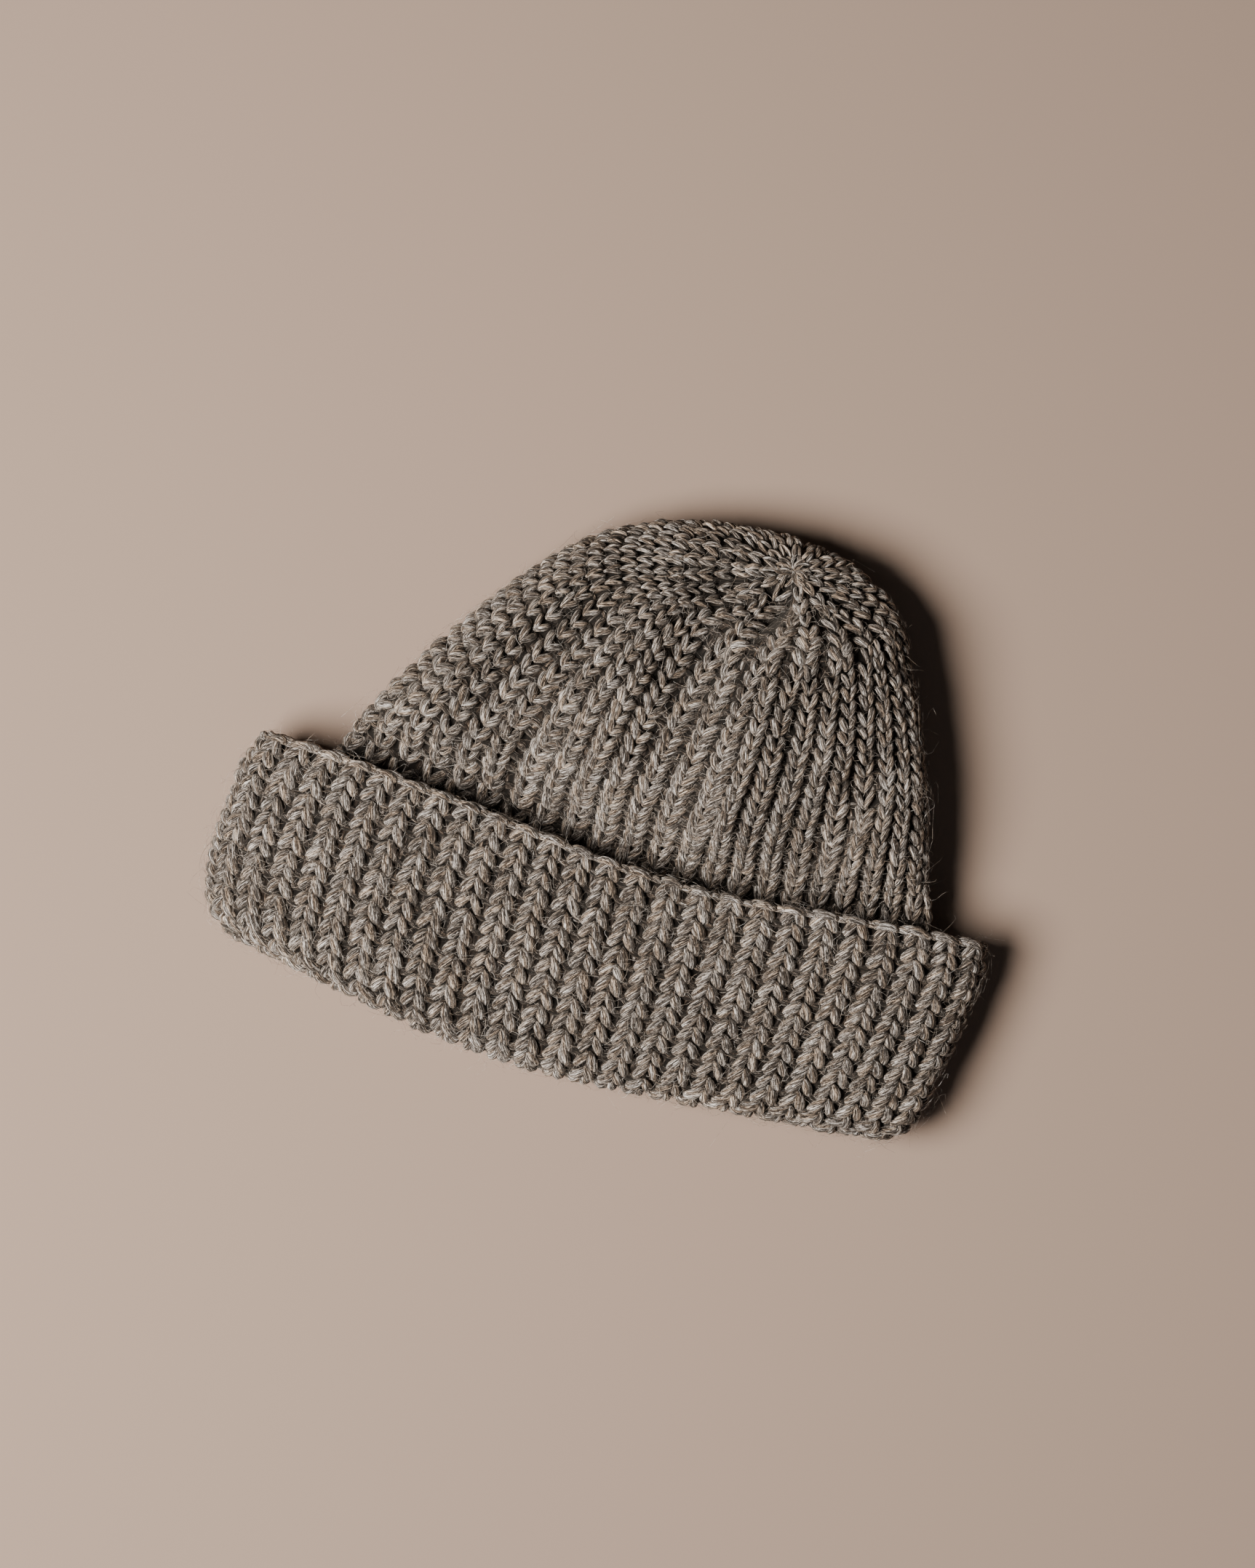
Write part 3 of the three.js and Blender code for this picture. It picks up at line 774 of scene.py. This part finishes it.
def cast_on_edge():
    """The cast-on: a flat strand over the head of each rib, and a smaller one over each groove."""
    parts = []
    for offset, half, drop, lift, thick, inner in (
        (0.0, 3.3, 0.9, -0.85, 1.25, -0.22),
        (0.5, 1.7, 0.5, -1.7, 1.0, -0.3),
        (0.0, 3.0, -0.4, -1.1, 1.2, -0.85),
        (0.5, 1.9, -0.2, -1.7, 1.0, -0.95),
    ):
        own = chance.normal(0, 1, (RIBS, 5))
        share = (columns + offset) / RIBS
        start = np.full(RIBS, inner)
        part = np.linspace(-1, 1, 6)[None]
        across = half * part * (1 + 0.08 * own[:, :1]) + 0.25 * own[:, 1:2]
        along = drop * part**2 + 0.25 * own[:, 2:3] * part + 0.15 * own[:, 3:4]
        high = lift - 0.5 * part**2 + 0.1 * own[:, 4:5]
        girth = CUFF.read(CUFF.girth, share, start)[:, None]
        centre, up = CUFF.place(
            share[:, None] + across / girth, start[:, None] + along / ROW_PITCH, high
        )
        size = thick * np.array([0.6, 0.95, 1.0, 1.0, 0.95, 0.6])[None] * np.ones((RIBS, 1))
        parts.append(yarns(centre, size, up, 7, 0.07 * own[:, 0]))
    return joined(parts)


add_piece("cuff_edge", "cuff", [cast_on_edge()], wool)

core = np.arange(5 * RIBS) / (5 * RIBS)
outward = np.concatenate([
    [-0.6 * EDGE_TURN, -0.3 * EDGE_TURN], np.arange(0, CUFF_ROWS + 0.1, 0.5),
    np.arange(CUFF_ROWS + 0.4, CUFF_ROWS + FOLD_TURN, 0.4),
    np.arange(CUFF_ROWS + FOLD_TURN, ROWS_END - 0.3, 0.5),
])
out_lift = np.where(outward < 0, -1.25, -2.9)
inward = outward[outward >= 0][::-1]
in_lift = np.where((inward > CUFF_ROWS) & (inward < CUFF_ROWS + FOLD_TURN), -3.9, -4.3)
in_lift = np.where(inward < 0.6, -3.9, in_lift)
# the backing between the stitches, in the wool darkened as painted shade
add_piece(
    "cuff_backing", "cuff",
    [sheet_between(
        CUFF, core, np.concatenate([outward, inward]), [*out_lift, *in_lift], closed=True
    )],
    wool_in_painted_shade,
)

# The crown
LAST_RUN = CROWN.first + CROWN.step * (CROWN.points.shape[1] - 1)


def clear_of_cuff(share, run, hidden):
    """Whether a place on the crown lies outside the cuff, or at most so far inside its edge."""
    place = CROWN.read(CROWN.points, share, run)
    return place[:, 1] > CUFF_DEPTH + bow(place[:, 0], 2) - hidden


def spread(share):
    """Ribs lie wider apart on the upper face, most of all left of its middle, and closer below."""
    return share + RIB_SPREAD * np.sin(2 * math.pi * (share - SPREAD_MIDDLE)) / (2 * math.pi)


def crown_columns(number, near, far, offset):
    """Stitch places in a band of the crown, in columns that draw together towards its near end."""
    runs = np.arange(near + ROW_PITCH / 2, far, CROWN_ROW)
    column, run = (a.ravel() for a in np.meshgrid(np.arange(number), runs, indexing="ij"))
    pair = np.where(column % 2 == 0, 0.5, -0.5)
    drawn = 0.42 * (1 - smooth(near, near + 11.0, run)) * (near > 0)
    return spread((column + offset + pair * drawn) / number), run


bands = [
    crown_columns(RIBS, SECOND_DECREASE, LAST_RUN - 2, 0.0),
    crown_columns(RIBS // 2, FIRST_DECREASE, SECOND_DECREASE, 0.25),
    crown_columns(RIBS // 4, 0.0, FIRST_DECREASE, 0.375),
]
parts = {"upper": [], "under": []}
bumps = []
for number, (share, run) in zip((RIBS, RIBS // 2, RIBS // 4), bands):
    keep = clear_of_cuff(share, run, 13.0)
    share, run = share[keep] % 1.0, run[keep]
    wider = 1 + RIB_SPREAD * np.cos(2 * math.pi * (share - SPREAD_MIDDLE))
    pitch = CROWN.read(CROWN.girth, share, run) / number * wider
    scale = np.clip(pitch / CUFF_PITCH, 0.42, 1.05)
    top = (share < UPPER_SHARE) | (share > 1 - UPPER_SHARE)
    for side, picked, sides in (("upper", top, 8), ("under", ~top, 5)):
        parts[side].append(rib_stitches(
            CROWN, share[picked], run[picked], -1, scale[picked],
            np.full(picked.sum(), 0.98), sides,
        ))
    groove = share + 0.5 / number * wider
    wide = scale > 0.5
    bumps.append(groove_stitches(
        CROWN, groove[wide], run[wide] + 2.2, -1, scale[wide], 2.8
    ))
for side in parts:
    add_piece(f"crown_stitches_{side}", "crown", [joined(parts[side])], wool)
# the purl yarn in the grooves, in the wool darkened as painted shade
add_piece("crown_purl", "crown", [joined(bumps)], wool_in_painted_shade)

runs = np.concatenate([[1.0, 2.5, 4.5], np.arange(7, LAST_RUN - 1, 3.0), [LAST_RUN - 0.5]])
ribbing = np.cos(2 * math.pi * RIBS * core)
deep = smooth(0, 9, runs)
pole = np.stack([
    CROWN.points[0, 0] + CROWN.normal[:, 8].mean(0) * lift for lift in (-1.0, -2.6)
])
# the backing between the stitches, in the wool darkened as painted shade
add_piece(
    "crown_backing", "crown",
    [sheet_between(
        CROWN, core, np.concatenate([runs, runs[::-1]]),
        [-1.0 - 1.8 * d for d in deep]
        + [(-2.6 - 1.5 * d) - 0.5 * d * ribbing for d in deep[::-1]],
        closed=False, pole=pole,
    )],
    wool_in_painted_shade,
)

# Stray hairs
run = chance.uniform(2, LAST_RUN, CROWN_HAIR_TRIES)
share = chance.uniform(-HAIR_REACH, HAIR_REACH, CROWN_HAIR_TRIES)
girth = CROWN.read(CROWN.girth, share, run)
dense = girth > chance.uniform(0, CROWN.girth.max(), CROWN_HAIR_TRIES)
keep = dense & clear_of_cuff(share, run, 2.0)
add_piece(
    "crown_hairs", "crown",
    [loose_fibres(CROWN, share[keep], run[keep], LONGEST_HAIR)], wool_hair_painted_highlight,
)
share = chance.uniform(-HAIR_REACH, HAIR_REACH, CUFF_HAIRS)
row = chance.uniform(-0.8, CUFF_ROWS + 2.2, CUFF_HAIRS)
add_piece(
    "cuff_hairs", "cuff", [loose_fibres(CUFF, share, row, LONGEST_HAIR)], wool_hair_painted_highlight
)

# Floor, light and camera
floor_material, tree = new_material("matt pale board")
shader = add(
    tree, "ShaderNodeBsdfPrincipled", (),
    {"Base Color": linear("#a89385"), "Roughness": 0.9, "Specular IOR Level": 0.2},
)
add(tree, "ShaderNodeOutputMaterial", (), (), {"Surface": shader.outputs[0]})
mesh = bpy.data.meshes.new("floor")
mesh.from_pydata([(-2, -2, 0), (2, -2, 0), (2, 2, 0), (-2, 2, 0)], [], [(0, 1, 2, 3)])
mesh.materials.append(floor_material)
floor = bpy.data.objects.new("floor", mesh)
bpy.context.scene.collection.objects.link(floor)


def add_light(name, size, power, place, colour):
    light = bpy.data.lights.new(name, "AREA")
    light.shape = "DISK"
    light.size = size
    light.energy = power
    light.color = linear(colour)[:3]
    lamp = bpy.data.objects.new(name, light)
    lamp.location = place
    lamp.rotation_euler = (-Vector(place)).to_track_quat("-Z", "Y").to_euler()
    bpy.context.scene.collection.objects.link(lamp)


TURN = math.radians(15.5)  # the camera's turn about the vertical


def beside(azimuth, elevation, distance):
    """A place round the cap. azimuth: degrees from the picture's right towards its top."""
    a = math.radians(azimuth) + TURN
    e = math.radians(elevation)
    return (
        distance * math.cos(e) * math.cos(a),
        distance * math.cos(e) * math.sin(a),
        distance * math.sin(e),
    )


add_light("window", 0.65, 26.0, beside(193, 55, 1.1), "#fff8f0")
add_light("bounce", 1.4, 0.5, beside(-60, 50, 1.5), "#eef2ff")
world = bpy.data.worlds.new("room")
world.use_nodes = True
world.node_tree.nodes["Background"].inputs["Color"].default_value = linear("#e9e6e1")
world.node_tree.nodes["Background"].inputs["Strength"].default_value = 0.03
bpy.context.scene.world = world

camera = bpy.data.cameras.new("camera")
camera.lens = 125.8
camera.clip_start = 0.05
eye = bpy.data.objects.new("camera", camera)
eye.location = (-0.0013, 0.0028, 1.6)
eye.rotation_euler = (0, 0, TURN)
bpy.context.scene.collection.objects.link(eye)
bpy.context.scene.camera = eye
